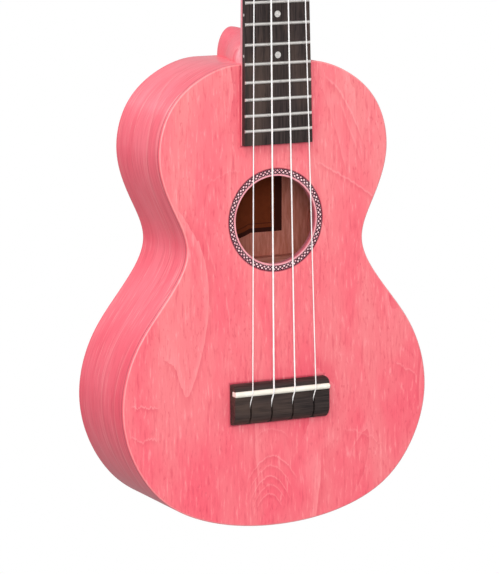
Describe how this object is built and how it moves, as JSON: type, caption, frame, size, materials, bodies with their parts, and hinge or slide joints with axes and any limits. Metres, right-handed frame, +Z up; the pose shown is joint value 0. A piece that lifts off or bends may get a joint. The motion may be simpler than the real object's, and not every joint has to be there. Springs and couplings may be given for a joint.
{
  "type": "ukulele",
  "caption": "Concert ukulele: figure-eight wooden body with soundhole, slotted bridge, fretted neck with heel, and geared tuners whose knobs turn the string posts.",
  "frame": {"origin": "on the centreline, in the plane of the soundboard's face, at the nut line, where the headstock's shoulders rest on a wall hanger", "axes": "+Z up the neck towards the headstock, the soundboard faces -Y, +X towards the treble side"},
  "size_m": [0.2004, 0.0801, 0.6],
  "materials": {
    "pink_stained_wood": "satin transparent coral pink stain over fine-grained wood",
    "plain_wood": "bare, unfinished",
    "dark_wood": "very dark brown, oiled, semi-matt",
    "ivory_plastic": "cream white, polished",
    "fret_nickel": "polished nickel silver",
    "pearl_marks": "pearl white",
    "rope_inlay": "black and white rope pattern, level with the wood",
    "label_paper": "brown paper with a dark border, no lettering",
    "clear_nylon": "clear white monofilament",
    "plated_steel": "bright nickel plate",
    "gear_brass": "machined",
    "knob_plastic": "pearl white"
  },
  "bodies": {
    "root": {"soundboard": "pink_stained_wood", "back_plate": "pink_stained_wood", "side_bass": "pink_stained_wood", "side_treble": "pink_stained_wood", "fretboard_base": "pink_stained_wood", "neck": "pink_stained_wood", "heel": "pink_stained_wood", "headstock": "pink_stained_wood", "neck_block": "plain_wood", "tail_block": "plain_wood", "top_linings": "plain_wood", "back_linings": "plain_wood", "top_cross_braces": "plain_wood", "back_braces": "plain_wood", "fan_braces": "plain_wood", "bridge_plate": "plain_wood", "soundhole_ring": "plain_wood", "neck_dowels": "plain_wood", "fretboard": "dark_wood", "bridge": "dark_wood", "saddle": "ivory_plastic", "nut": "ivory_plastic", "frets": "fret_nickel", "face_dots": "pearl_marks", "side_dots": "pearl_marks", "rosette": "rope_inlay", "label": "label_paper", "string_knots": "clear_nylon", "string_g": "clear_nylon", "string_c": "clear_nylon", "string_e": "clear_nylon", "string_a": "clear_nylon", "tuner_screws": "plated_steel", "post_bushings": "plated_steel", "tuner_plate_g": "plated_steel", "tuner_plate_c": "plated_steel", "tuner_plate_e": "plated_steel", "tuner_plate_a": "plated_steel"},
    "knob_g": {"worm_shaft_g": "plated_steel", "tuner_button_g": "knob_plastic"},
    "post_g": {"gear_wheel_g": "gear_brass", "string_post_g": "plated_steel", "string_winding_g": "clear_nylon"},
    "knob_c": {"worm_shaft_c": "plated_steel", "tuner_button_c": "knob_plastic"},
    "post_c": {"gear_wheel_c": "gear_brass", "string_post_c": "plated_steel", "string_winding_c": "clear_nylon"},
    "knob_e": {"worm_shaft_e": "plated_steel", "tuner_button_e": "knob_plastic"},
    "post_e": {"gear_wheel_e": "gear_brass", "string_post_e": "plated_steel", "string_winding_e": "clear_nylon"},
    "knob_a": {"worm_shaft_a": "plated_steel", "tuner_button_a": "knob_plastic"},
    "post_a": {"gear_wheel_a": "gear_brass", "string_post_a": "plated_steel", "string_winding_a": "clear_nylon"}
  },
  "joints": [
    {"name": "knob_g_turn", "type": "hinge", "parent": "root", "child": "knob_g", "pos_m": [-0.017, 0.02337, 0.03224], "axis": [1, 0, 0], "continuous": true},
    {"name": "post_g_turn", "type": "hinge", "parent": "root", "child": "post_g", "pos_m": [-0.017, 0.02472, 0.03859], "axis": [0, 0.9781, -0.2079], "continuous": true},
    {"name": "knob_c_turn", "type": "hinge", "parent": "root", "child": "knob_c", "pos_m": [-0.017, 0.03252, 0.07527], "axis": [1, 0, 0], "continuous": true},
    {"name": "post_c_turn", "type": "hinge", "parent": "root", "child": "post_c", "pos_m": [-0.017, 0.03387, 0.08163], "axis": [0, 0.9781, -0.2079], "continuous": true},
    {"name": "knob_e_turn", "type": "hinge", "parent": "root", "child": "knob_e", "pos_m": [0.017, 0.03252, 0.07527], "axis": [1, 0, 0], "continuous": true},
    {"name": "post_e_turn", "type": "hinge", "parent": "root", "child": "post_e", "pos_m": [0.017, 0.03387, 0.08163], "axis": [0, 0.9781, -0.2079], "continuous": true},
    {"name": "knob_a_turn", "type": "hinge", "parent": "root", "child": "knob_a", "pos_m": [0.017, 0.02337, 0.03224], "axis": [1, 0, 0], "continuous": true},
    {"name": "post_a_turn", "type": "hinge", "parent": "root", "child": "post_a", "pos_m": [0.017, 0.02472, 0.03859], "axis": [0, 0.9781, -0.2079], "continuous": true}
  ],
  "couplings": [
    {"joint": "post_g_turn", "follows": "knob_g_turn", "ratio": 0.071429},
    {"joint": "post_c_turn", "follows": "knob_c_turn", "ratio": 0.071429},
    {"joint": "post_e_turn", "follows": "knob_e_turn", "ratio": 0.071429},
    {"joint": "post_a_turn", "follows": "knob_a_turn", "ratio": 0.071429}
  ]
}
